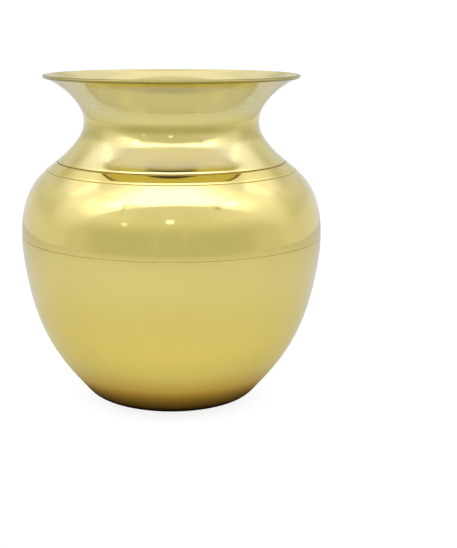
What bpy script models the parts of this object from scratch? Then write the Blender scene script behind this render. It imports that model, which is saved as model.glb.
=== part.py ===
"""Brass kalash: a small round water pot of spun sheet brass, with a waisted neck and a flared mouth.

Three spun shells are lapped into each other and brazed:
  neck_mouth   beaded lip, flare, neck and the short skirt that laps over the dome
  upper_dome   shoulder of the body with a flat band at its top, joggled inwards under the skirt
  lower_bowl   lower half with the flat foot, joggled inwards so that it slips inside the dome
  neck_braze   brazing metal in the lap between skirt and dome
  belly_braze  brazing metal in the lap between dome and bowl

Every piece is turned about Z. The origin is the centre of the foot, on the surface it stands on.
Dimensions are in millimetres here and become metres when a mesh is made.
"""

import math

import bmesh
import bpy
import numpy as np

# ------------------------------------------------------------------ driving dimensions, mm
SHEET = 0.8  # thickness of the brass sheet
HEIGHT = 127.0  # foot to the top of the lip
MOUTH_R = 49.25  # outermost point of the lip
LIP_SLOPE = 27.6  # rise of the flare at the lip, degrees above horizontal
BEAD_R = 0.7  # radius of the bead at the lip, where the sheet's edge is curled outwards
BEAD_EASE = 2.4  # length over which the inner surface rises to the bead
BEAD_STEPS = 10  # facets round the bead's profile

BAND_TOP = (43.95, 94.2)  # upper line: edge of the neck's skirt, start of the flat band
BAND_FOOT = (48.0, 91.0)  # lower line, turned into the dome: end of the flat band
NECK_SLOPE = 42.3  # fall of the neck curve where it reaches the band, degrees
DOME_SLOPE = 42.8  # fall of the dome where it leaves the band, degrees
SEAM_Z = 65.7  # height of the belly seam between dome and bowl
FOOT_R = 24.2  # radius of the flat foot

# turned line at the foot of the band, and the rolled lower edges of neck and band
ROLL = 1.0  # length over which the surface rolls off above a line
ROLL_DROP = 0.12  # how far it has dropped at the line
LINE_WIDTH = 0.5  # width of the cut below the roll
LINE_DEPTH = 0.34  # depth of the cut
LINE_BOTTOM = 0.35  # place of the deepest point, as a part of the width

# lap joints
LAP_GAP = 0.16  # space between two lapped shells
FILM = 0.12  # thickness of the brazing film in that space
NECK_LAP = 3.8  # how far the dome's collar reaches up under the skirt
BELLY_LAP = 5.0  # how far the bowl's tongue reaches up inside the dome
FILL_DEPTH = 0.4  # the brazing metal's depth below the surface in the upper line
SEAM_FILL_DEPTH = 0.04  # the same in the belly seam, which is filled almost flush
SEAM_HALF = 0.12  # half the width of the belly seam at the surface
FILLET_HEIGHT = 0.8  # how far the belly's brazing metal climbs the dome above the tongue

SEGMENTS = 48  # facets round the axis
MAX_TURN = 11.0  # degrees of turn between two points of a profile
MAX_STEP = 9.0  # mm between two points of a profile

MM = 0.001
MERGE_DISTANCE = 0.00001  # metres
COLLECTION = "brass_kalash"

# ------------------------------------------------------------------ stations, (radius, height)
NECK_STATIONS = [  # from below the lip down to above the band
    (42.5, 122.4),
    (37.6, 117.9),
    (34.15, 111.8),
    (34.4, 105.7),
    (37.6, 100.5),
    (40.8, 97.0),
]
BODY_STATIONS = [  # from below the band down to the heel
    (53.1, 85.5),
    (56.95, 77.0),
    (58.3, 65.8),
    (56.5, 48.8),
    (52.55, 33.6),
    (46.25, 20.4),
    (39.3, 10.8),
    (35.3, 6.1),
    (31.85, 2.7),
    (26.95, 0.85),
]


# ------------------------------------------------------------------ curves
def direction(degrees):
    """Unit vector of (radius, height), its angle measured from outwards towards up."""
    angle = np.radians(degrees)
    return np.stack([np.cos(angle), np.sin(angle)], axis=-1)


class Curve:
    """A smooth curve of (radius, height) through stations, with its heading in degrees at both ends.

    Both coordinates are cubic splines of the chord length, so slope and curvature run on through
    each station. `at` works by the distance travelled from the first station.
    """

    def __init__(self, stations, start_degrees, end_degrees):
        points = np.array(stations, float)
        chords = np.hypot(*np.diff(points, axis=0).T)
        self.knots = np.concatenate([[0.0], np.cumsum(chords)])

        # one equation per station: given slope at the ends, equal curvature on both sides between
        count = len(points)
        matrix = np.zeros((count, count))
        right = np.zeros((count, 2))
        matrix[0, 0] = matrix[-1, -1] = 1.0
        right[0] = direction(start_degrees)
        right[-1] = direction(end_degrees)
        for i in range(1, count - 1):
            before, after = chords[i - 1], chords[i]
            matrix[i, i - 1 : i + 2] = after, 2 * (before + after), before
            right[i] = 3 * (
                after * (points[i] - points[i - 1]) / before
                + before * (points[i + 1] - points[i]) / after
            )
        self.points = points
        self.slopes = np.linalg.solve(matrix, right)

        # table that turns distance travelled into the spline's parameter
        self.fine = np.linspace(0, self.knots[-1], 2001)
        walked = np.hypot(*np.diff(self.position(self.fine), axis=0).T)
        self.walked = np.concatenate([[0.0], np.cumsum(walked)])
        self.length = self.walked[-1]

    def locate(self, parameter):
        """Part of the span covered, from 0 to 1, the span's chord, and its index."""
        parameter = np.asarray(parameter, float)
        span = np.searchsorted(self.knots, parameter, side="right") - 1
        span = np.clip(span, 0, len(self.knots) - 2)
        chord = (self.knots[span + 1] - self.knots[span])[..., None]
        return (parameter[..., None] - self.knots[span][..., None]) / chord, chord, span

    def position(self, parameter):
        part, chord, span = self.locate(parameter)
        return (
            (2 * part**3 - 3 * part**2 + 1) * self.points[span]
            + (part**3 - 2 * part**2 + part) * chord * self.slopes[span]
            + (3 * part**2 - 2 * part**3) * self.points[span + 1]
            + (part**3 - part**2) * chord * self.slopes[span + 1]
        )

    def velocity(self, parameter):
        part, chord, span = self.locate(parameter)
        return (
            (6 * part**2 - 6 * part) * (self.points[span] - self.points[span + 1]) / chord
            + (3 * part**2 - 4 * part + 1) * self.slopes[span]
            + (3 * part**2 - 2 * part) * self.slopes[span + 1]
        )

    def at(self, distance, offset=0.0):
        """The point this far along, moved by offset along the normal, outwards if positive.

        The curve runs down the outer side, and past its last station it runs straight on.
        """
        distance = np.asarray(distance, float)
        parameter = np.interp(distance, self.walked, self.fine)
        way = self.velocity(parameter)
        way = way / np.hypot(way[..., 0], way[..., 1])[..., None]
        normal = np.stack([-way[..., 1], way[..., 0]], axis=-1)
        past = (distance - np.clip(distance, 0, self.length))[..., None]
        return self.position(parameter) + past * way + np.asarray(offset)[..., None] * normal

    def trace(self, rows):
        """Points from rows of (distance, offset)."""
        distances, offsets = zip(*rows)
        return self.at(distances, offsets)

    def where_height(self, z):
        """Distance at which the falling curve reaches this height."""
        heights = self.position(self.fine)[:, 1]
        return float(np.interp(-z, -heights, self.walked))

    def stops(self, first, last):
        """Distances from first to last, closer together where the curve turns."""
        fine = np.linspace(first, last, 400)
        way = self.velocity(np.interp(fine, self.walked, self.fine))
        heading = np.unwrap(np.arctan2(way[:, 1], way[:, 0]))
        cost = np.abs(np.diff(heading)) / math.radians(MAX_TURN) + np.diff(fine) / MAX_STEP
        total = np.concatenate([[0.0], np.cumsum(cost)])
        count = max(2, math.ceil(total[-1]) + 1)
        return np.interp(np.linspace(0, total[-1], count), total, fine)


# from the middle of the sheet's edge at the lip, half a sheet out to its outer surface
LIP_NORMAL = direction(LIP_SLOPE - 90)
LIP_OUTER = np.array([MOUTH_R - SHEET / 2, HEIGHT - SHEET / 2]) + SHEET / 2 * LIP_NORMAL
BAND_SLOPE = math.degrees(math.atan2(BAND_TOP[1] - BAND_FOOT[1], BAND_FOOT[0] - BAND_TOP[0]))

NECK = Curve([LIP_OUTER, *NECK_STATIONS, BAND_TOP], 180 + LIP_SLOPE, -NECK_SLOPE)
BAND = Curve([BAND_TOP, BAND_FOOT], -BAND_SLOPE, -BAND_SLOPE)
BODY = Curve([BAND_FOOT, *BODY_STATIONS, (FOOT_R, 0.0)], -DOME_SLOPE, -180)

# places along the body curve
SEAM = BODY.where_height(SEAM_Z)
TONGUE_EDGE = SEAM - BELLY_LAP
FILLET_TOP = TONGUE_EDGE - FILLET_HEIGHT

# both shells and the brazing film share these distances in a lap, so their facets stay parallel
NECK_STOPS = np.linspace(NECK.length - NECK_LAP, NECK.length, 4)
BELLY_STOPS = np.linspace(TONGUE_EDGE, SEAM - SEAM_HALF, 4)

# offsets from a curve: surfaces of the shell that is lapped underneath, and of the brazing film
LAPPED_OUTER = -SHEET - LAP_GAP
LAPPED_INNER = LAPPED_OUTER - SHEET
FILM_PLAY = (LAP_GAP - FILM) / 2
FILM_OUTER = -SHEET - FILM_PLAY
FILM_INNER = LAPPED_OUTER + FILM_PLAY
FILL_CORNER = LAPPED_OUTER + 0.1  # where the fill of a line starts to widen from the film


def rolled(curve, distance):
    """The outer surface of neck or band, which rolls off over the last ROLL of its curve."""
    part = np.clip(1 - (curve.length - np.asarray(distance, float)) / ROLL, 0, 1)
    return curve.at(distance, -ROLL_DROP * part**2)


# ------------------------------------------------------------------ neck and mouth
# the bead, measured along and across the flare as if it were straight at the lip
BEAD_CENTRE = np.array([MOUTH_R - BEAD_R, HEIGHT - BEAD_R])
BEAD_PLACE = float((BEAD_CENTRE - LIP_OUTER) @ direction(180 + LIP_SLOPE))
BEAD_DEPTH = float(-(BEAD_CENTRE - LIP_OUTER) @ LIP_NORMAL)  # centre below the outer surface
BEAD_CREASE = BEAD_PLACE + math.sqrt(BEAD_R**2 - BEAD_DEPTH**2)  # underside meets outer surface
BEAD_RISE = BEAD_R + BEAD_DEPTH - SHEET  # height of the bead over the inner surface


def bead_arc():
    """From the top of the bead over the outermost point, to just before the crease."""
    corner = NECK.at(BEAD_CREASE) - BEAD_CENTRE
    crease_degrees = math.degrees(math.atan2(corner[1], corner[0]))
    degrees = np.linspace(90 + LIP_SLOPE, crease_degrees, BEAD_STEPS + 1)[:-1]
    return BEAD_CENTRE + BEAD_R * direction(degrees)


def neck_mouth():
    """Down the outside from the crease, round the skirt's edge, up the inside, over the bead."""
    roll_start = NECK.length - ROLL
    inner_stops = NECK.stops(BEAD_PLACE + BEAD_EASE, NECK_STOPS[0])[::-1]
    return np.vstack([
        rolled(NECK, NECK.stops(BEAD_CREASE, roll_start)),
        rolled(NECK, [roll_start + ROLL / 2, NECK.length]),
        NECK.at(NECK_STOPS[::-1], -SHEET),
        NECK.at(inner_stops[1:], -SHEET),
        NECK.at(BEAD_PLACE + BEAD_EASE / 2, -SHEET - BEAD_RISE / 4),
        bead_arc(),
    ])


# ------------------------------------------------------------------ dome
# the joggle from collar to band, (distance along the band, offset)
COLLAR_JOGGLE_OUTER = [(0.22, LAPPED_OUTER + 0.06), (0.5, -0.2), (0.85, 0.0)]
COLLAR_JOGGLE_INNER = [(1.45, -SHEET), (0.75, LAPPED_INNER)]


def upper_dome():
    """From the collar's top edge down the outside to the seam, and back up the inside."""
    turned_line = [(LINE_BOTTOM * LINE_WIDTH, -LINE_DEPTH), (LINE_WIDTH, 0.0)]
    seam_edge = [(SEAM - 2 * SEAM_HALF, 0.0), (SEAM - SEAM_HALF, -SEAM_HALF)]
    return np.vstack([
        NECK.at(NECK_STOPS, LAPPED_OUTER),
        BAND.trace(COLLAR_JOGGLE_OUTER),
        rolled(BAND, [BAND.length - ROLL, BAND.length - ROLL / 2, BAND.length]),
        BODY.trace(turned_line),
        BODY.at(BODY.stops(LINE_WIDTH, SEAM - SEAM_HALF)[1:-1]),
        BODY.trace(seam_edge),
        BODY.at(BELLY_STOPS[::-1], -SHEET),
        BODY.at(BODY.stops(0.0, FILLET_TOP)[::-1], -SHEET),
        BAND.trace(COLLAR_JOGGLE_INNER),
        NECK.at(NECK_STOPS[::-1], LAPPED_INNER),
    ])


# ------------------------------------------------------------------ bowl
# the joggle from tongue to bowl, (distance along the body, offset)
TONGUE_JOGGLE_INNER = [(SEAM + 0.9, LAPPED_INNER), (SEAM, LAPPED_INNER)]
TONGUE_JOGGLE_OUTER = [(SEAM + 0.16, LAPPED_OUTER + 0.06), (SEAM + 0.26, -0.08)]
BOWL_INNER_START = SEAM + 1.7  # below here the inner surface follows the body curve
BOWL_OUTER_START = SEAM + 0.42  # the same for the outer surface


def lower_bowl():
    """From the middle of the floor up the inside, and down the outside to the middle of the foot."""
    ring_r = FOOT_R / 2
    return np.vstack([
        [(0.0, SHEET), (ring_r, SHEET)],
        BODY.at(BODY.stops(BOWL_INNER_START, BODY.length)[::-1], -SHEET),
        BODY.trace(TONGUE_JOGGLE_INNER),
        BODY.at(BELLY_STOPS[-2::-1], LAPPED_INNER),
        BODY.at(BELLY_STOPS, LAPPED_OUTER),
        BODY.trace(TONGUE_JOGGLE_OUTER),
        BODY.at(BODY.stops(BOWL_OUTER_START, BODY.length)),
        [(ring_r, 0.0), (0.0, 0.0)],
    ])


# ------------------------------------------------------------------ brazing metal
FILM_OVERRUN = 0.1  # how far the neck's film reaches above the collar

# fill of the upper line, (distance along the band, offset)
NECK_FILL = [(0.04, FILM_OUTER), (0.04, -FILL_DEPTH), (0.36, -FILL_DEPTH), (0.19, FILL_CORNER)]

# fill of the belly seam and fillet on the tongue's edge, (distance along the body, offset)
SEAM_FILL_START = SEAM - SEAM_HALF + 0.02
SEAM_FILL = [
    (SEAM_FILL_START, FILM_OUTER),
    (SEAM_FILL_START, -SEAM_FILL_DEPTH),
    (SEAM + 0.21, -SEAM_FILL_DEPTH - 0.04),
    (SEAM + 0.11, FILL_CORNER),
]
FILLET_DEPTH = 2 * SHEET + 0.1
TONGUE_FILLET = [
    (TONGUE_EDGE - 0.05, FILM_INNER),
    (TONGUE_EDGE - 0.05, -FILLET_DEPTH),
    (TONGUE_EDGE - 0.2, -FILLET_DEPTH),
]


def neck_braze():
    """A thin film between skirt and collar that widens to fill the bottom of the upper line."""
    stops = [NECK_STOPS[0] - FILM_OVERRUN, *NECK_STOPS]
    return np.vstack([
        NECK.at(stops, FILM_OUTER),
        BAND.trace(NECK_FILL),
        NECK.at(stops[::-1], FILM_INNER),
    ])


def belly_braze():
    """The same film in the belly lap, with a small fillet on the tongue's upper edge."""
    return np.vstack([
        BODY.at([FILLET_TOP, *BELLY_STOPS], FILM_OUTER),
        BODY.trace(SEAM_FILL),
        BODY.at(BELLY_STOPS[::-1], FILM_INNER),
        BODY.trace(TONGUE_FILLET),
    ])


# ------------------------------------------------------------------ building
POLISHED = (0.86, 0.66, 0.27)
SOLDER = (0.80, 0.57, 0.22)


def brass(name, colour, roughness):
    material = bpy.data.materials.new(name)
    material.use_nodes = True
    shader = material.node_tree.nodes["Principled BSDF"]
    shader.inputs["Base Color"].default_value = (*colour, 1.0)
    shader.inputs["Metallic"].default_value = 1.0
    shader.inputs["Roughness"].default_value = roughness
    material.diffuse_color = (*colour, 1.0)
    return material


def turned(name, profile, material, collection, closed=True):
    """A profile in the XZ plane, turned about Z with a Screw modifier.

    A profile that starts and ends on the axis is left open.
    """
    mesh = bpy.data.meshes.new(name)
    bm = bmesh.new()
    corners = [bm.verts.new((radius * MM, 0.0, z * MM)) for radius, z in profile]
    following = corners[1:] + corners[:1] if closed else corners[1:]
    for ends in zip(corners, following):
        bm.edges.new(ends)
    bm.to_mesh(mesh)
    bm.free()
    mesh.materials.append(material)

    obj = bpy.data.objects.new(name, mesh)
    collection.objects.link(obj)
    screw = obj.modifiers.new("turn", "SCREW")
    screw.axis = "Z"
    screw.angle = math.tau
    screw.steps = screw.render_steps = SEGMENTS
    screw.use_merge_vertices = True
    screw.merge_threshold = MERGE_DISTANCE
    screw.use_smooth_shade = True


def clear_scene():
    for obj in list(bpy.data.objects):
        bpy.data.objects.remove(obj, do_unlink=True)


def main():
    clear_scene()
    pot = bpy.data.collections.new(COLLECTION)
    bpy.context.scene.collection.children.link(pot)

    neck_brass = brass("neck_mouth_brass", colour=POLISHED, roughness=0.12)
    dome_brass = brass("upper_dome_brass", colour=POLISHED, roughness=0.12)
    bowl_brass = brass("lower_bowl_brass", colour=POLISHED, roughness=0.14)
    neck_metal = brass("neck_braze_metal", colour=SOLDER, roughness=0.35)
    belly_metal = brass("belly_braze_metal", colour=SOLDER, roughness=0.35)

    turned("neck_mouth", neck_mouth(), neck_brass, pot)
    turned("upper_dome", upper_dome(), dome_brass, pot)
    turned("lower_bowl", lower_bowl(), bowl_brass, pot, closed=False)
    turned("neck_braze", neck_braze(), neck_metal, pot)
    turned("belly_braze", belly_braze(), belly_metal, pot)


main()
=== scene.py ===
"""Looks of the brass kalash: fine turned shells, polished brass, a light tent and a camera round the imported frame."""

import math

import bpy
import numpy as np
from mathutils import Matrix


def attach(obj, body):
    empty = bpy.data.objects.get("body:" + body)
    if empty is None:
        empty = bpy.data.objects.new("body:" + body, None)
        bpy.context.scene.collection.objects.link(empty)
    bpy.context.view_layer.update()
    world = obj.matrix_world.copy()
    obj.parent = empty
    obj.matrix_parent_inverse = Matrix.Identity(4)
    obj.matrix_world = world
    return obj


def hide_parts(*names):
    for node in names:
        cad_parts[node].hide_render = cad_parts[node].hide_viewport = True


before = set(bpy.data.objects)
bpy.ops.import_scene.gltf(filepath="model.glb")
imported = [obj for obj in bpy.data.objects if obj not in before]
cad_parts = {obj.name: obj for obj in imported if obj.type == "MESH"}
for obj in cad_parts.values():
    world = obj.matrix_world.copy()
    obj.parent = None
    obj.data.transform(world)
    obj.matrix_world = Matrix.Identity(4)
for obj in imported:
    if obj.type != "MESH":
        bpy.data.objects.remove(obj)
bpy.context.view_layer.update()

MM = 0.001

# ------------------------------------------------------------------ the CAD's driving dimensions, mm
SHEET = 0.8
HEIGHT = 127.0
MOUTH_R = 49.25
LIP_SLOPE = 27.6
BEAD_R, BEAD_EASE = 0.7, 2.4
BAND_TOP = (43.95, 94.2)
BAND_FOOT = (48.0, 91.0)
NECK_SLOPE = 42.3
DOME_SLOPE = 42.8
SEAM_Z = 65.7
NECK_STATIONS = [(42.5, 122.4), (37.6, 117.9), (34.15, 111.8), (34.4, 105.7), (37.6, 100.5), (40.8, 97.0)]
BODY_STATIONS = [(53.1, 85.5), (56.95, 77.0), (58.3, 65.8), (56.5, 48.8), (52.55, 33.6), (46.25, 20.4)]
HEEL_STATIONS = [(39.3, 10.8), (35.3, 6.1), (31.85, 2.7), (26.95, 0.85)]
FOOT_R = 24.2
ROLL, ROLL_DROP = 1.0, 0.12
LINE_WIDTH, LINE_DEPTH = 0.5, 0.34
LAP_GAP, FILM = 0.16, 0.12
NECK_LAP, BELLY_LAP = 3.8, 5.0
FILL_DEPTH, SEAM_FILL_DEPTH, SEAM_HALF = 0.4, 0.03, 0.06

AROUND = 192  # vertices round the axis


# ------------------------------------------------------------------ curves, as the CAD draws them
class Curve:
    """A smooth curve of (radius, height) through stations, with surface coordinates: distance along, height over."""

    def __init__(self, stations, start_degrees, end_degrees, begins_at=0.0):
        points = np.array(stations, float)
        chords = np.hypot(*np.diff(points, axis=0).T)
        self.knots = np.concatenate([[0.0], np.cumsum(chords)])
        start = np.array([math.cos(math.radians(start_degrees)), math.sin(math.radians(start_degrees))])
        end = np.array([math.cos(math.radians(end_degrees)), math.sin(math.radians(end_degrees))])
        count = len(points)
        matrix, right = np.zeros((count, count)), np.zeros((count, 2))
        matrix[0, 0] = matrix[-1, -1] = 1.0
        right[0], right[-1] = start, end
        for i in range(1, count - 1):
            before, after = chords[i - 1], chords[i]
            matrix[i, i - 1 : i + 2] = after, 2 * (before + after), before
            right[i] = 3 * (
                after * (points[i] - points[i - 1]) / before
                + before * (points[i + 1] - points[i]) / after
            )
        self.points, self.slopes = points, np.linalg.solve(matrix, right)
        fine = np.linspace(0, self.knots[-1], 8001)
        walked = np.hypot(*np.diff(self.position(fine), axis=0).T)
        self.fine, self.walked = fine, np.concatenate([[0.0], np.cumsum(walked)])
        self.length = self.walked[-1]
        self.begins_at = begins_at

    def parts(self, t):
        t = np.asarray(t, float)
        i = np.clip(np.searchsorted(self.knots, t, side="right") - 1, 0, len(self.knots) - 2)
        h = (self.knots[i + 1] - self.knots[i])[..., None]
        return (t[..., None] - self.knots[i][..., None]) / h, h, i

    def position(self, t):
        u, h, i = self.parts(t)
        return (
            (2 * u**3 - 3 * u**2 + 1) * self.points[i]
            + (u**3 - 2 * u**2 + u) * h * self.slopes[i]
            + (3 * u**2 - 2 * u**3) * self.points[i + 1]
            + (u**3 - u**2) * h * self.slopes[i + 1]
        )

    def velocity(self, t):
        u, h, i = self.parts(t)
        return (
            (6 * u**2 - 6 * u) * (self.points[i] - self.points[i + 1]) / h
            + (3 * u**2 - 4 * u + 1) * self.slopes[i]
            + (3 * u**2 - 2 * u) * self.slopes[i + 1]
        )

    def at(self, distance, height_over=0.0):
        """Rows of (radius, height, distance from the lip along the whole outer curve, height over that curve)."""
        distance = np.atleast_1d(np.asarray(distance, float))
        over = np.broadcast_to(np.asarray(height_over, float), distance.shape)
        t = np.interp(distance, self.walked, self.fine)
        way = self.velocity(t)
        way = way / np.hypot(way[..., 0], way[..., 1])[..., None]
        normal = np.stack([-way[..., 1], way[..., 0]], axis=-1)
        past = (distance - np.clip(distance, 0, self.length))[..., None]
        spot = self.position(t) + past * way + over[..., None] * normal
        return np.column_stack([spot, distance + self.begins_at, over])

    def where_height(self, z):
        heights = self.position(self.fine)[:, 1]
        return float(np.interp(-z, -heights, self.walked))

    def stops(self, first, last, turn=1.6, step=1.5):
        """Distances from first to last, closer together where the curve turns."""
        fine = np.linspace(first, last, 2000)
        way = self.velocity(np.interp(fine, self.walked, self.fine))
        heading = np.unwrap(np.arctan2(way[:, 1], way[:, 0]))
        cost = np.abs(np.diff(heading)) / math.radians(turn) + np.diff(fine) / step
        total = np.concatenate([[0.0], np.cumsum(cost)])
        count = max(2, int(math.ceil(total[-1])) + 1)
        return np.interp(np.linspace(0, total[-1], count), total, fine)


EDGE = (MOUTH_R - SHEET / 2, HEIGHT - SHEET / 2)
LIP_OUTER = (
    EDGE[0] + SHEET / 2 * math.sin(math.radians(LIP_SLOPE)),
    EDGE[1] - SHEET / 2 * math.cos(math.radians(LIP_SLOPE)),
)
NECK = Curve([LIP_OUTER] + NECK_STATIONS + [BAND_TOP], 180 + LIP_SLOPE, -NECK_SLOPE)
BAND_SLOPE = math.degrees(math.atan2(BAND_TOP[1] - BAND_FOOT[1], BAND_FOOT[0] - BAND_TOP[0]))
BAND = Curve([BAND_TOP, BAND_FOOT], -BAND_SLOPE, -BAND_SLOPE, NECK.length)
BODY = Curve(
    [BAND_FOOT] + BODY_STATIONS + HEEL_STATIONS + [(FOOT_R, 0.0)],
    -DOME_SLOPE,
    -180,
    NECK.length + BAND.length,
)
SEAM = BODY.where_height(SEAM_Z)
UPPER_LINE = NECK.length
LOWER_LINE = NECK.length + BAND.length
SEAM_LINE = LOWER_LINE + SEAM
FOOT_EDGE = LOWER_LINE + BODY.length


def rolled(curve, distance):
    left = np.clip(1 - (curve.length - np.asarray(distance, float)) / ROLL, 0, 1)
    return curve.at(distance, -ROLL_DROP * left**2)


def joined(*runs):
    """One profile from runs of rows, without the points that two runs share."""
    rows = np.vstack([np.atleast_2d(r) for r in runs])
    keep = [0]
    for i in range(1, len(rows)):
        if math.dist(rows[i, :2], rows[keep[-1], :2]) > 0.004:
            keep.append(i)
    return rows[keep]


def eased(rows, radius, closed, sharp=8.0, steps=4):
    """The same profile with each corner that turns more than `sharp` degrees rounded over about `radius` mm."""
    out, count = [], len(rows)
    for i in range(count):
        here = rows[i]
        if not closed and i in (0, count - 1):
            out.append(here)
            continue
        before, after = rows[i - 1], rows[(i + 1) % count]
        a, b = here[:2] - before[:2], after[:2] - here[:2]
        la, lb = np.hypot(*a), np.hypot(*b)
        bend = math.degrees(math.acos(float(np.clip((a @ b) / (la * lb), -1, 1))))
        if bend < sharp:
            out.append(here)
            continue
        back, on = min(radius, 0.45 * la) / la, min(radius, 0.45 * lb) / lb
        start, end = here + (before - here) * back, here + (after - here) * on
        if la > 4 * radius:
            out.append(here + (before - here) * (back + 1.2 * radius / la))
        for t in np.linspace(0, 1, steps + 1):
            out.append((1 - t) ** 2 * start + 2 * t * (1 - t) * here + t**2 * end)
        if lb > 4 * radius:
            out.append(here + (after - here) * (on + 1.2 * radius / lb))
    return np.array(out)


def bead():
    """Centre of the lip's bead, the distances along the flare of its centre and of the crease below it, and its rise
    over the inner surface."""
    centre = np.array([MOUTH_R - BEAD_R, HEIGHT - BEAD_R])
    slope = math.radians(LIP_SLOPE)
    inwards = np.array([-math.cos(slope), -math.sin(slope)])
    outwards = np.array([math.sin(slope), -math.cos(slope)])
    foot = float((centre - LIP_OUTER) @ inwards)
    depth = float(-(centre - LIP_OUTER) @ outwards)
    return centre, foot, foot + math.sqrt(BEAD_R**2 - depth**2), BEAD_R + depth - SHEET


def neck_mouth():
    centre, foot, crease, rise = bead()
    straight = NECK.stops(crease, NECK.length - ROLL)
    roll = np.linspace(NECK.length - ROLL, NECK.length, 9)[1:]
    outer = joined(rolled(NECK, straight), rolled(NECK, roll))
    inner = NECK.at(NECK.stops(foot + BEAD_EASE, NECK.length)[::-1], -SHEET)
    climb = np.linspace(1, 0, 9)[1:-1]
    ease = NECK.at(foot + BEAD_EASE * climb, -SHEET - rise * (1 - climb) ** 2)
    corner = NECK.at(crease)[0, :2] - centre
    last = math.atan2(corner[1], corner[0])
    arc = np.linspace(math.radians(90 + LIP_SLOPE), last, 34)[:-1]
    share = (arc - last) / (arc[0] - last)
    slope = math.radians(LIP_SLOPE)
    down = np.array([math.sin(slope), -math.cos(slope)])
    ring = centre + BEAD_R * np.column_stack([np.cos(arc), np.sin(arc)])
    bead_rows = np.column_stack(
        [ring, crease - (crease - foot) * share - 1.2 * np.sin(math.pi * share), (ring - LIP_OUTER) @ down]
    )
    return eased(joined(outer, inner, ease, bead_rows), 0.07, True, sharp=14.0)


def upper_dome():
    low, lower = -SHEET - LAP_GAP, -2 * SHEET - LAP_GAP
    collar = NECK.stops(NECK.length - NECK_LAP, NECK.length, step=0.8)
    ramp = joined(BAND.at(0.22, low + 0.06), BAND.at(0.5, -0.2), BAND.at(0.85, 0.0))
    band = np.linspace(0.85, BAND.length - ROLL, 5)[1:]
    roll = np.linspace(BAND.length - ROLL, BAND.length, 9)[1:]
    line = BODY.at([0.35 * LINE_WIDTH, LINE_WIDTH], [-LINE_DEPTH, 0.0])
    side = BODY.stops(LINE_WIDTH, SEAM - 2 * SEAM_HALF)[1:]
    edge = BODY.at(SEAM - SEAM_HALF, -SEAM_HALF)
    outer = joined(NECK.at(collar, low), ramp, BAND.at(band, 0.0), rolled(BAND, roll), line, BODY.at(side, 0.0), edge)
    inner = joined(
        BODY.at(BODY.stops(0.0, SEAM - SEAM_HALF)[::-1], -SHEET),
        BAND.at([1.45, 0.75], [-SHEET, lower]),
        NECK.at(collar[::-1], lower),
    )
    return eased(joined(outer, inner), 0.09, True)


def lower_bowl():
    low, lower = -SHEET - LAP_GAP, -2 * SHEET - LAP_GAP
    lap = np.linspace(SEAM - BELLY_LAP, SEAM, 7)
    centre = FOOT_EDGE + FOOT_R
    disc = np.array([0.0, 0.08, 0.3, 0.6, 0.85])
    floor = np.column_stack([disc * FOOT_R, 0 * disc + SHEET, centre - disc * FOOT_R, 0 * disc - SHEET])
    inner = joined(
        floor,
        BODY.at(BODY.stops(SEAM + 1.7, BODY.length)[::-1], -SHEET),
        BODY.at([SEAM + 0.9], lower),
        BODY.at(lap[::-1], lower),
    )
    ramp = joined(BODY.at(SEAM + 0.16, low + 0.06), BODY.at(SEAM + 0.26, -0.08), BODY.at(SEAM + 0.42, 0.0))
    outside = BODY.at(BODY.stops(SEAM + 0.42, BODY.length)[1:], 0.0)
    foot = np.column_stack([disc[::-1] * FOOT_R, 0 * disc, centre - disc[::-1] * FOOT_R, 0 * disc])
    lap[-1] = SEAM - 0.02
    return eased(joined(inner, BODY.at(lap, low), ramp, outside, foot), 0.09, False)


def neck_braze():
    play = (LAP_GAP - FILM) / 2
    top, bottom = -SHEET - play, -SHEET - LAP_GAP + play
    film = NECK.stops(NECK.length - NECK_LAP - 0.1, NECK.length, step=0.8)
    fillet = joined(BAND.at(0.04, top), BAND.at(0.04, -FILL_DEPTH), BAND.at(0.36, -FILL_DEPTH), BAND.at(0.19, low_corner()))
    return eased(joined(NECK.at(film, top), fillet, NECK.at(film[::-1], bottom)), 0.04, True)


def low_corner():
    return -SHEET - LAP_GAP + 0.1


def belly_braze():
    play = (LAP_GAP - FILM) / 2
    top, bottom = -SHEET - play, -SHEET - LAP_GAP + play
    film = np.linspace(SEAM - BELLY_LAP, SEAM - SEAM_HALF, 7)
    seam = SEAM - SEAM_HALF + 0.02
    rows = joined(
        BODY.at(SEAM - BELLY_LAP - 0.8, top),
        BODY.at(film, top),
        BODY.at([seam, seam], [top, -SEAM_FILL_DEPTH]),
        BODY.at(SEAM + 0.21, -SEAM_FILL_DEPTH - 0.04),
        BODY.at(SEAM + 0.11, low_corner()),
        BODY.at(film[::-1], bottom),
        BODY.at([SEAM - BELLY_LAP - 0.05, SEAM - BELLY_LAP - 0.05], [bottom, -2 * SHEET - 0.1]),
        BODY.at(SEAM - BELLY_LAP - 0.2, -2 * SHEET - 0.1),
    )
    return eased(rows, 0.04, True)


# ------------------------------------------------------------------ turned meshes
def near(along, line, above, below):
    """1 at a line, falling to 0 this many mm above and below it."""
    d = np.asarray(along) - line
    reach = np.where(d < 0, above, below)
    return np.clip(1 - np.abs(d) / reach, 0, 1)


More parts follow.
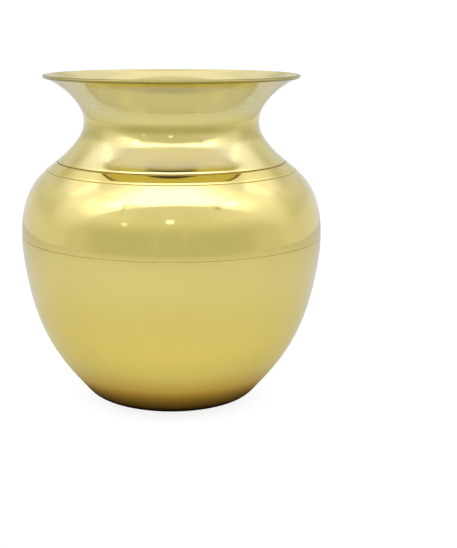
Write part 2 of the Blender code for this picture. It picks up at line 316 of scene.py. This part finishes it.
def turned(name, rows, closed):
    """A profile turned about Z. Rings that lie on the axis shrink to one point."""
    step = math.tau / AROUND
    verts, rings, along, over = [], [], [], []
    for r, z, s, v in rows:
        if r < 1e-6:
            rings.append([len(verts)] * AROUND)
            verts.append((0.0, 0.0, z * MM))
            along.append(s), over.append(v)
            continue
        rings.append(list(range(len(verts), len(verts) + AROUND)))
        for j in range(AROUND):
            verts.append((r * MM * math.cos(j * step), r * MM * math.sin(j * step), z * MM))
            along.append(s), over.append(v)
    faces, corners = [], []
    pairs = list(zip(range(len(rings)), range(1, len(rings))))
    if closed:
        pairs.append((len(rings) - 1, 0))
    for a, b in pairs:
        for j in range(AROUND):
            k = (j + 1) % AROUND
            face = [(rings[a][j], j), (rings[b][j], j), (rings[b][k], j + 1), (rings[a][k], j + 1)]
            kept = [c for i, c in enumerate(face) if c[0] not in [f[0] for f in face[:i]]]
            faces.append([c[0] for c in kept])
            corners += [(c[1] / AROUND, along[c[0]] / 100) for c in kept]
    mesh = bpy.data.meshes.new(name)
    mesh.from_pydata(verts, [], faces)
    uv = mesh.uv_layers.new(name="turned")
    uv.data.foreach_set("uv", np.array(corners, np.float32).ravel())
    along, over = np.array(along), np.array(over)
    radius = np.hypot(*np.array(verts)[:, :2].T) / MM
    inside = np.clip((-over - 0.25) / 0.3, 0, 1)
    # dirt and painted shade in the creases: darker along the two lines, in the bead's crease and, faintly, at the seam
    grime_and_crease_shade = np.maximum.reduce(
        [near(along, UPPER_LINE + 0.25, 0.45, 0.65), near(along, LOWER_LINE + 0.2, 0.35, 0.45), near(along, SEAM_LINE, 0.12, 0.3) * 0.15]
        + [near(along, bead()[2], 0.35, 0.45) * (over > -0.3)]
    )
    # painted shade on the lip's bead so it shows no bright highlight, less dark in a narrow strip where its height over
    # the flare is near -0.04 mm
    painted_bead_shade = (along < bead()[2] + 0.05) & (radius > MOUTH_R - 2.2 * BEAD_R) & ((radius > 48.35) | (over > -0.4))
    painted_bead_shade = painted_bead_shade * (1 - 0.55 * np.exp(-(((over + 0.04) / 0.18) ** 2)))
    for key, values in (("along", along), ("inside", inside), ("grime_and_crease_shade", grime_and_crease_shade), ("radius", radius), ("bead", painted_bead_shade)):
        mesh.attributes.new(key, "FLOAT", "POINT").data.foreach_set("value", values.astype(np.float32))
    mesh.shade_smooth()
    mesh.validate()
    obj = bpy.data.objects.new(name, mesh)
    bpy.context.scene.collection.objects.link(obj)
    return obj


# ------------------------------------------------------------------ shader arithmetic
class Term:
    """A shader socket that takes part in ordinary arithmetic."""

    def __init__(self, tree, socket):
        self.tree, self.socket = tree, socket

    def math(self, operation, *others, clamp=False):
        node = self.tree.nodes.new("ShaderNodeMath")
        node.operation, node.use_clamp = operation, clamp
        for slot, value in zip(node.inputs, (self,) + others):
            put(self.tree, slot, value)
        return Term(self.tree, node.outputs[0])

    def __add__(self, other):
        return self.math("ADD", other)

    def __sub__(self, other):
        return self.math("SUBTRACT", other)

    def __rsub__(self, other):
        return (self * -1.0) + other

    def __mul__(self, other):
        return self.math("MULTIPLY", other)

    def __truediv__(self, other):
        return self.math("DIVIDE", other)

    __radd__, __rmul__ = __add__, __mul__

    def power(self, exponent):
        return self.math("POWER", exponent)

    def rise(self, low, high, smooth=True):
        """0 below low, 1 above high; the limits may be terms too."""
        node = self.tree.nodes.new("ShaderNodeMapRange")
        node.interpolation_type = "SMOOTHSTEP" if smooth else "LINEAR"
        for slot, value in (("Value", self), ("From Min", low), ("From Max", high)):
            put(self.tree, node.inputs[slot], value)
        return Term(self.tree, node.outputs[0])

    def hump(self, centre, half_width):
        """A soft bump of height 1 round centre."""
        d = (self - centre) / half_width
        return (d * d * -1.0).math("EXPONENT")


def put(tree, slot, value):
    if isinstance(value, Term):
        tree.links.new(value.socket, slot)
    else:
        slot.default_value = value


def blend(tree, low, high, share):
    """low where share is 0, high where it is 1; works on plain values."""
    return low + (high - low) * share


def colours(tree, low, high, share):
    node = tree.nodes.new("ShaderNodeMix")
    node.data_type = "RGBA"
    put(tree, node.inputs["Factor"], share)
    for slot, value in ((node.inputs[6], low), (node.inputs[7], high)):
        if isinstance(value, Term):
            tree.links.new(value.socket, slot)
        else:
            slot.default_value = (*value, 1.0)
    return Term(tree, node.outputs[2])


def attribute(tree, name):
    node = tree.nodes.new("ShaderNodeAttribute")
    node.attribute_name = name
    return Term(tree, node.outputs["Fac"])


def vector(tree, x, y, z):
    node = tree.nodes.new("ShaderNodeCombineXYZ")
    for slot, value in zip(node.inputs, (x, y, z)):
        put(tree, slot, value)
    return Term(tree, node.outputs[0])


def place(tree):
    """x, y, z of the shaded point in metres."""
    node = tree.nodes.new("ShaderNodeNewGeometry")
    split = tree.nodes.new("ShaderNodeSeparateXYZ")
    tree.links.new(node.outputs["Position"], split.inputs[0])
    return [Term(tree, split.outputs[i]) for i in range(3)]


def noise(tree, spot, scale, detail=2.0, rough=0.5):
    node = tree.nodes.new("ShaderNodeTexNoise")
    put(tree, node.inputs["Vector"], spot)
    node.inputs["Scale"].default_value = scale
    node.inputs["Detail"].default_value = detail
    node.inputs["Roughness"].default_value = rough
    return Term(tree, node.outputs["Fac"])


def fresh(name):
    material = bpy.data.materials.new(name)
    material.use_nodes = True
    tree = material.node_tree
    shader = tree.nodes["Principled BSDF"]
    return material, tree, shader


# ------------------------------------------------------------------ brass
def brass(name, colour, deep, gloss, seed, ripple=1.0, brushed=0.0, haze=None, waist_shade=None):
    """Polished sheet brass: turning marks round the axis, hand-buffed waviness, faint tarnish, a matt inside, and
    painted shade round the neck's waist, on the lip's bead and in the creases.
    """
    material, tree, shader = fresh(name)
    x, y, z = place(tree)
    along, inside = attribute(tree, "along"), attribute(tree, "inside")
    grime_and_crease_shade, radius = attribute(tree, "grime_and_crease_shade"), attribute(tree, "radius")
    round_x, round_y = x / (radius * MM + 1e-6), y / (radius * MM + 1e-6)

    # turning marks: fine in the direction along the profile, drawn out round the axis
    marks_at = vector(tree, round_x * 1.3 + seed, round_y * 1.3, along * 5.5)
    marks = noise(tree, marks_at, 1.0, 3.0, 0.65)
    fine_at = vector(tree, round_x * 5.0, round_y * 5.0 + seed, along * 26.0)
    fine = noise(tree, fine_at, 1.0, 2.0, 0.6)
    ripples_at = vector(tree, round_x * 0.9, round_y * 0.9 + seed, along * 0.32)
    ripples = noise(tree, ripples_at, 1.0, 1.5, 0.45)
    spot = vector(tree, x, y, z)
    waves = noise(tree, spot, 70.0, 1.0, 0.4)
    blotches = noise(tree, spot, 38.0, 4.0, 0.6)
    specks = noise(tree, spot, 900.0, 2.0, 0.7)

    deeper = inside * z.rise(0.112, 0.096)
    tarnish = blotches.rise(0.50, 0.78) * 0.22 + inside * 0.10 + deeper * 0.35
    base = colours(tree, colour, (0.85, 0.765, 0.27), inside * z.rise(0.108, 0.116))
    base = colours(tree, base, deep, tarnish)
    if waist_shade:
        # painted shade: a darker band round the hollow waist of the neck
        first, last, amount = waist_shade
        band = along.rise(first - 1.2, first + 1.2) * (1.0 - along.rise(last - 1.2, last + 1.2)) * amount
        base = colours(tree, base, (0.30 * colour[0], 0.27 * colour[1], 0.0), band * (1.0 - inside))
    streaked = colours(tree, base, tuple(0.80 * c for c in colour), marks.rise(0.58, 0.80) * 0.20)
    pits = specks.rise(0.70, 0.80) * 0.18
    pitted = colours(tree, streaked, tuple(0.55 * c for c in deep), pits)
    if haze:
        # painted shade on the lip's bead: a dark brown that stands in for its highlight
        pitted = colours(tree, pitted, (0.32, 0.26, 0.05), attribute(tree, "bead") * 0.97)
    # dirt and painted crease shade: dark brown along the lines, the seam and the bead's crease
    crease_shaded = colours(tree, pitted, (0.36, 0.25, 0.07), grime_and_crease_shade * (0.30 + blotches * 0.45))
    tree.links.new(crease_shaded.socket, shader.inputs["Base Color"])
    shader.inputs["Metallic"].default_value = 1.0

    path = tree.nodes.new("ShaderNodeLightPath")
    seen = Term(tree, path.outputs["Is Camera Ray"])
    between = along.rise(UPPER_LINE - 1.5, UPPER_LINE - 0.5) * (1.0 - along.rise(LOWER_LINE - 0.3, LOWER_LINE))
    roughness = (
        gloss
        + between * -0.025
        + blotches.rise(0.35, 0.75) * 0.035
        + marks.rise(0.35, 0.80) * 0.035
        + deeper * 0.20
        + grime_and_crease_shade * 0.22
        + pits * 0.3
        + (attribute(tree, "bead") * 0.12 if haze else 0.0)
    )
    roughness = roughness * (0.4 + seen * 0.6)
    tree.links.new(roughness.socket, shader.inputs["Roughness"])
    put(tree, shader.inputs["Coat Weight"], (1.0 - between * 0.7) * seen * (0.45 if haze else 1.0))
    shader.inputs["Coat IOR"].default_value = 1.5
    put(tree, shader.inputs["Coat Roughness"], 0.42 + blotches * 0.1)

    height = (
        ripples * (1.6e-5 * ripple)
        + waves * 1.1e-5
        + marks * 7.0e-7
        + fine * 1.5e-7
        - grime_and_crease_shade * specks * 2.0e-5
        + deeper * marks * 4.0e-6
    )
    bump = tree.nodes.new("ShaderNodeBump")
    bump.inputs["Distance"].default_value = 1.0
    bump.inputs["Strength"].default_value = 1.0
    tree.links.new(height.socket, bump.inputs["Height"])
    tree.links.new(bump.outputs[0], shader.inputs["Normal"])

    # marks that run round the axis smear a reflection up and down
    put(tree, shader.inputs["Anisotropic"], (1.0 - inside * 0.9) * brushed)
    shader.inputs["Anisotropic Rotation"].default_value = 0.25
    tangent = tree.nodes.new("ShaderNodeTangent")
    tangent.direction_type, tangent.axis = "RADIAL", "Z"
    tree.links.new(tangent.outputs[0], shader.inputs["Tangent"])

    if haze:
        # milky lacquer where the waist could not be buffed
        milk = tree.nodes.new("ShaderNodeBsdfDiffuse")
        below_waist = along.rise(haze[0][1], haze[1][0])
        tree.links.new(colours(tree, (0.76, 0.94, 0.90), (1.0, 0.98, 0.66), below_waist).socket, milk.inputs["Color"])
        share = 0.0
        for low, high, soft, amount in haze:
            share = along.rise(low - 2.2, low + 2.2) * (1.0 - along.rise(high - soft, high + soft)) * amount + share
        edge_on = tree.nodes.new("ShaderNodeLayerWeight")
        edge_on.inputs["Blend"].default_value = 0.5
        turned_away = Term(tree, edge_on.outputs["Facing"]).rise(below_waist * -0.28 + 0.56, below_waist * -0.26 + 0.82)
        share = share * (0.85 + blotches * 0.3) * (1.0 - turned_away)
        both = tree.nodes.new("ShaderNodeMixShader")
        put(tree, both.inputs[0], share * (1.0 - inside) * seen)
        tree.links.new(shader.outputs[0], both.inputs[1])
        tree.links.new(milk.outputs[0], both.inputs[2])
        out = tree.nodes["Material Output"]
        tree.links.new(both.outputs[0], out.inputs["Surface"])
    return material


def spelter(name, light, dark, rough):
    """Brazing metal: duller and redder than the sheet, slightly grainy."""
    material, tree, shader = fresh(name)
    x, y, z = place(tree)
    spot = vector(tree, x, y, z)
    grain, patches = noise(tree, spot, 1500.0, 3.0, 0.7), noise(tree, spot, 160.0, 3.0, 0.6)
    colour = colours(tree, light, dark, patches.rise(0.35, 0.70) * 0.6 + grain * 0.2)
    tree.links.new(colour.socket, shader.inputs["Base Color"])
    shader.inputs["Metallic"].default_value = 1.0
    tree.links.new((rough + grain * 0.2).socket, shader.inputs["Roughness"])
    bump = tree.nodes.new("ShaderNodeBump")
    bump.inputs["Distance"].default_value = 1.0
    height = grain * 1.5e-5 + patches * 4.0e-5
    tree.links.new(height.socket, bump.inputs["Height"])
    tree.links.new(bump.outputs[0], shader.inputs["Normal"])
    return material


# ------------------------------------------------------------------ the studio
def emission(name):
    material = bpy.data.materials.new(name)
    material.use_nodes = True
    tree = material.node_tree
    tree.nodes.clear()
    out = tree.nodes.new("ShaderNodeOutputMaterial")
    return material, tree, out


TENT_R = 0.53
EYE, POT_R = 0.08, 0.055  # height and radius that the tent's angles are counted from


def tent_light():
    """Light of the tent by direction: a pale front, brighter sides, and a bright softbox over the front and top."""
    material, tree, out = emission("tent_cloth")
    x, y, z = place(tree)
    turn = 180.0 / math.pi
    flat = (x * x + y * y).power(0.5)
    az = x.math("ARCTAN2", y * -1.0) * turn
    el = (z - EYE).math("ARCTAN2", flat - POT_R) * turn
    aside = az.math("ABSOLUTE")

    # sides: cloth that brightens upwards, with the sewn corners of the tent as brighter folds
    side = 0.76 + el.rise(2, 20) * 0.16 + el.rise(18, 42) * 0.24
    side = side * (1.0 - aside.rise(88, 108) * el.rise(2, 14) * (1.0 - el.rise(34, 46)) * 0.24)
    side = side * (1.0 - aside.rise(112, 140) * el.rise(22, 34) * 0.24)
    left = (az + 51.0).hump(0.0, 8.0) * (el - 51.0).hump(0.0, 7.0) * 1.8
    left = (az + 60.0).hump(0.0, 16.0) * (el - 40.0).hump(0.0, 14.0) * 0.7 + left
    right = (az - 55.0).hump(0.0, 9.0) * (el - 51.0).hump(0.0, 6.0) * 1.7
    right = (az - 62.0).hump(0.0, 14.0) * (el - 45.0).hump(0.0, 11.0) * 0.5 + right
    folds = (aside - 101.0).hump(0.0, 6.0) * (el - 54.0).hump(0.0, 11.0) * 0.6
    side = side + left + right + folds

    # the softbox: brightest ahead, fading to the sides and towards the zenith
    ahead = 1.0 - (y - x.math("ABSOLUTE") * 0.9).rise(0.060, 0.090)
    hatch = (1.0 - x.math("ABSOLUTE").rise(0.12, 0.16)) * (1.0 - (y - 0.160).math("ABSOLUTE").rise(0.024, 0.040))
    rear = 1.04 - hatch * 0.30 - y.rise(0.27, 0.33) * 0.15 - x.math("ABSOLUTE").rise(0.14, 0.30) * 0.20
    box = 0.94 + (1.0 - aside.rise(30, 98)) * 1.76
    box = box * (1.0 - el.rise(80, 89) * 0.38)
    top = blend(tree, rear, box, ahead)
    lid_low = 50.0 + aside.rise(40, 65) * 6.0
    over = side + (top - side) * el.rise(lid_low, lid_low + 6.0)

    # the dim front, which ends above in an arch and fades out at its sides
    front = 0.595 + el.rise(8, 30) * (0.20 + aside.rise(20, 50) * 0.10)
    front = front + aside.rise(48, 72) * 0.10
    front = front * (1.0 + (az + 11.0).hump(0.0, 2.5) * (el - 2.0).hump(0.0, 9.0) * 0.09)
    front = front * (1.0 + (az - 9.0).hump(0.0, 3.0) * (el - 8.0).hump(0.0, 8.0) * 0.07)
    out_by = (az - 3.0) * (az - 3.0)
    arch = 56.5 - out_by * 0.0060 - out_by * out_by * 3.6e-7
    soft = 1.5 + aside.rise(45, 75) * 10.0
    light = blend(tree, over, front, 1.0 - (el - arch).rise(soft * -1.0, soft + 0.5))

    # a seam and a clamp at the ends of the arch, and two small lamps
    seam = (az + 42.0 + (el - 47.0) * 0.12).hump(0.0, 1.2) * (el - 46.5).hump(0.0, 6.5) * 0.55
    clamp = (az - 41.0).hump(0.0, 3.0) * (el - 46.5).hump(0.0, 3.4) * 0.50
    light = light * (1.0 - seam) * (1.0 - clamp)
    lamp = (1.0 - (az + 1.0).math("ABSOLUTE").rise(1.6, 3.4)) * (1.0 - (el - 28.7).math("ABSOLUTE").rise(1.4, 3.2))
    lamp2 = (az + 34.5).hump(0.0, 1.9) * (el - 22.3).hump(0.0, 1.5)
    light = light + lamp * 1.5 + lamp2 * 1.0

    # what the shoulder sees of it by way of the flare is brighter low down in front
    light = light * (1.0 + twice_reflected(tree) * (1.0 - el.rise(6, 16)) * (1.0 - aside.rise(60, 90)) * 0.42)

    cool = light * (0.90 + light.rise(0.58, 1.02, smooth=False) * 0.45)

    glow = tree.nodes.new("ShaderNodeEmission")
    tree.links.new(vector(tree, light, light, cool).socket, glow.inputs["Color"])
    glow.inputs["Strength"].default_value = 1.0
    tree.links.new(glow.outputs[0], out.inputs["Surface"])
    material.cycles.emission_sampling = "NONE"
    return material


def twice_reflected(tree):
    path = tree.nodes.new("ShaderNodeLightPath")
    return Term(tree, path.outputs["Ray Depth"]).math("GREATER_THAN", 1.5)


def low_dark(tree, x, y):
    """Share of the light kept back by a low dark stand in front, which only twice-reflected rays find."""
    width = 1.0 - x.math("ABSOLUTE").rise(0.20, 0.25)
    depth = y.rise(-0.448, -0.378) * (1.0 - y.rise(-0.312, -0.294))
    return twice_reflected(tree) * width * depth


def tent():
    mesh = bpy.data.meshes.new("light_tent")
    rings, around = 60, 120
    verts = [(0.0, 0.0, TENT_R)]
    for i in range(1, rings + 1):
        a = math.radians(90 * i / rings)
        for j in range(around):
            b = math.tau * j / around
            verts.append((TENT_R * math.sin(a) * math.cos(b), TENT_R * math.sin(a) * math.sin(b), TENT_R * math.cos(a) - 0.001))
    faces = [(0, 1 + j, 1 + (j + 1) % around) for j in range(around)]
    for i in range(rings - 1):
        a, b = 1 + i * around, 1 + (i + 1) * around
        faces += [(a + j, b + j, b + (j + 1) % around, a + (j + 1) % around) for j in range(around)]
    mesh.from_pydata(verts, [], faces)
    mesh.shade_smooth()
    obj = bpy.data.objects.new("light_tent", mesh)
    bpy.context.scene.collection.objects.link(obj)
    mesh.materials.append(tent_light())
    obj.visible_camera = False
    return obj


def floor_cover():
    """A pale floor that the camera sees almost white, and that reflections see lit by the tent, with a painted contact
    shadow and painted yellow light from the brass round the foot.
    """
    material, tree, out = emission("pale_floor")
    x, y, z = place(tree)
    flat = (x * x + y * y).power(0.5)
    spot = vector(tree, x, y, 0.0)
    weave = noise(tree, spot, 260.0, 3.0, 0.6)
    path = tree.nodes.new("ShaderNodeLightPath")
    seen = Term(tree, path.outputs["Is Camera Ray"])
    geometry = tree.nodes.new("ShaderNodeNewGeometry")
    under = Term(tree, geometry.outputs["Backfacing"])

    real = tree.nodes.new("ShaderNodeBsdfDiffuse")
    # painted contact shadow in the floor's colour: dark right at the foot, a little lighter in a ring just beyond
    painted_contact_shadow = 0.02 + flat.rise(0.0302, 0.0415) * 1.37 + flat.rise(0.041, 0.053) * 0.08 - flat.rise(0.055, 0.11) * 0.13
    shade = (0.50 + weave * 0.04) * painted_contact_shadow * (1.0 - low_dark(tree, x, y))
    # painted yellow light from the brass: the floor's colour is warmer close to the foot and less blue out to about
    # 0.19 m
    painted_brass_bleed = 1.0 - flat.rise(0.033, 0.050)
    glow = 1.0 - flat.rise(0.05, 0.19)
    tinted = vector(tree, shade * (1.0 - glow * 0.03), shade * (1.0 - glow * 0.05 - painted_brass_bleed * 0.28), shade * (0.93 - glow * 0.30 - painted_brass_bleed * 0.43))
    tree.links.new(tinted.socket, real.inputs["Color"])
    shown = tree.nodes.new("ShaderNodeBsdfDiffuse")
    bright = 1.35 + weave * 0.02
    tree.links.new(vector(tree, bright, bright, bright * 0.99).socket, shown.inputs["Color"])
    white = tree.nodes.new("ShaderNodeEmission")
    white.inputs["Color"].default_value = (1.0, 1.0, 1.0, 1.0)
    white.inputs["Strength"].default_value = 1.04

    far = tree.nodes.new("ShaderNodeMixShader")
    put(tree, far.inputs[0], flat.rise(0.03, 0.13) * 0.17 + 0.83)
    tree.links.new(shown.outputs[0], far.inputs[1])
    tree.links.new(white.outputs[0], far.inputs[2])
    camera = tree.nodes.new("ShaderNodeMixShader")
    put(tree, camera.inputs[0], seen)
    tree.links.new(real.outputs[0], camera.inputs[1])
    tree.links.new(far.outputs[0], camera.inputs[2])
    clear = tree.nodes.new("ShaderNodeBsdfTransparent")
    both = tree.nodes.new("ShaderNodeMixShader")
    put(tree, both.inputs[0], under)
    tree.links.new(camera.outputs[0], both.inputs[1])
    tree.links.new(clear.outputs[0], both.inputs[2])
    tree.links.new(both.outputs[0], out.inputs["Surface"])
    return material


def floor():
    mesh = bpy.data.meshes.new("floor")
    around, drop = 96, -0.00004
    radii = [0.0, 0.02, 0.04, 0.08, 0.2, 0.5, 2.5]
    verts = [(0.0, 0.0, drop)]
    for r in radii[1:]:
        verts += [(r * math.cos(math.tau * j / around), r * math.sin(math.tau * j / around), drop) for j in range(around)]
    faces = [(0, 1 + j, 1 + (j + 1) % around) for j in range(around)]
    for i in range(len(radii) - 2):
        a, b = 1 + i * around, 1 + (i + 1) * around
        faces += [(a + j, b + j, b + (j + 1) % around, a + (j + 1) % around) for j in range(around)]
    mesh.from_pydata(verts, [], faces)
    obj = bpy.data.objects.new("floor", mesh)
    bpy.context.scene.collection.objects.link(obj)
    mesh.materials.append(floor_cover())
    return obj


def surroundings():
    world = bpy.data.worlds.new("studio")
    world.use_nodes = True
    world.node_tree.nodes["Background"].inputs["Color"].default_value = (1.0, 1.0, 1.0, 1.0)
    world.node_tree.nodes["Background"].inputs["Strength"].default_value = 1.04
    bpy.context.scene.world = world


def shifted(data, key, amount, camera_at, station):
    """A lens shift of this amount while the camera stands at the station, and none from anywhere else."""
    curve = data.driver_add(key)
    curve.driver.type = "SUM"
    distance = curve.driver.variables.new()
    distance.name, distance.type = "distance", "LOC_DIFF"
    distance.targets[0].id, distance.targets[1].id = camera_at, station
    line = curve.modifiers[0] if len(curve.modifiers) else curve.modifiers.new("GENERATOR")
    line.poly_order = 1
    line.coefficients = (amount, -math.copysign(20.0, amount))
    limits = curve.modifiers.new("LIMITS")
    limits.use_min_y = limits.use_max_y = True
    limits.min_y, limits.max_y = min(amount, 0.0), max(amount, 0.0)


def camera():
    """A level-backed view from slightly above; the pot stands left of the middle, so the lens is shifted."""
    data = bpy.data.cameras.new("camera")
    data.sensor_fit = "AUTO"
    data.sensor_width = 36.0
    data.lens = 36.0 * 1083.9 / 548
    data.clip_start, data.clip_end = 0.01, 20.0
    obj = bpy.data.objects.new("camera", data)
    station = bpy.data.objects.new("camera_station", None)
    for o in (obj, station):
        bpy.context.scene.collection.objects.link(o)
        o.location = (0.0, -0.4197, 0.1447)
    obj.rotation_mode = "XYZ"
    obj.rotation_euler = (math.radians(90.0 - 11.13), 0.0, 0.0)
    shifted(data, "shift_x", (228.5 - 171.4) / 548, obj, station)
    shifted(data, "shift_y", (240.0 - 274.0) / 548, obj, station)
    bpy.context.scene.camera = obj


# ------------------------------------------------------------------ assembling
YELLOW = (0.86, 0.715, 0.185)
PALE = (0.85, 0.735, 0.235)
DEEP = (0.76, 0.57, 0.13)

FLARE_Z, WAIST_Z, FOOT_Z = 124.3, 113.9, 103.2  # heights on the neck where the haze starts, stops and starts again
NECK_HAZE = [
    (NECK.where_height(FLARE_Z), NECK.where_height(WAIST_Z), 3.6, 0.25),
    (NECK.where_height(FOOT_Z), NECK.where_height(96.0), 1.3, 0.30),
]
# heights on the neck between which painted shade darkens the waist, and how much
NECK_WAIST_SHADE = (NECK.where_height(109.6), NECK.where_height(103.6), 0.25)

PIECES = [
    ("neck_mouth", neck_mouth, True, "polished_brass", brass("neck_brass", PALE, DEEP, 0.10, 3.7, 1.0, 0.75, NECK_HAZE, NECK_WAIST_SHADE)),
    ("upper_dome", upper_dome, True, "polished_brass", brass("dome_brass", YELLOW, DEEP, 0.055, 11.2, 1.0, 0.3)),
    ("lower_bowl", lower_bowl, False, "polished_brass", brass("bowl_brass", YELLOW, DEEP, 0.085, 23.9, 1.0, 0.3)),
    ("neck_braze", neck_braze, True, "brazing_metal", spelter("neck_spelter", (0.70, 0.51, 0.15), (0.42, 0.28, 0.09), 0.30)),
    ("belly_braze", belly_braze, True, "brazing_metal", spelter("belly_spelter", (0.80, 0.63, 0.17), (0.60, 0.44, 0.13), 0.12)),
]

for node, profile, closed, slot, material in PIECES:
    piece = turned(node + "_fine", profile(), closed)
    piece.data.materials.append(material)
    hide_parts(node)
    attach(piece, "root")

floor()
tent()
surroundings()
camera()
bpy.context.scene.view_settings.view_transform = "Standard"
bpy.context.scene.view_settings.look = "None"
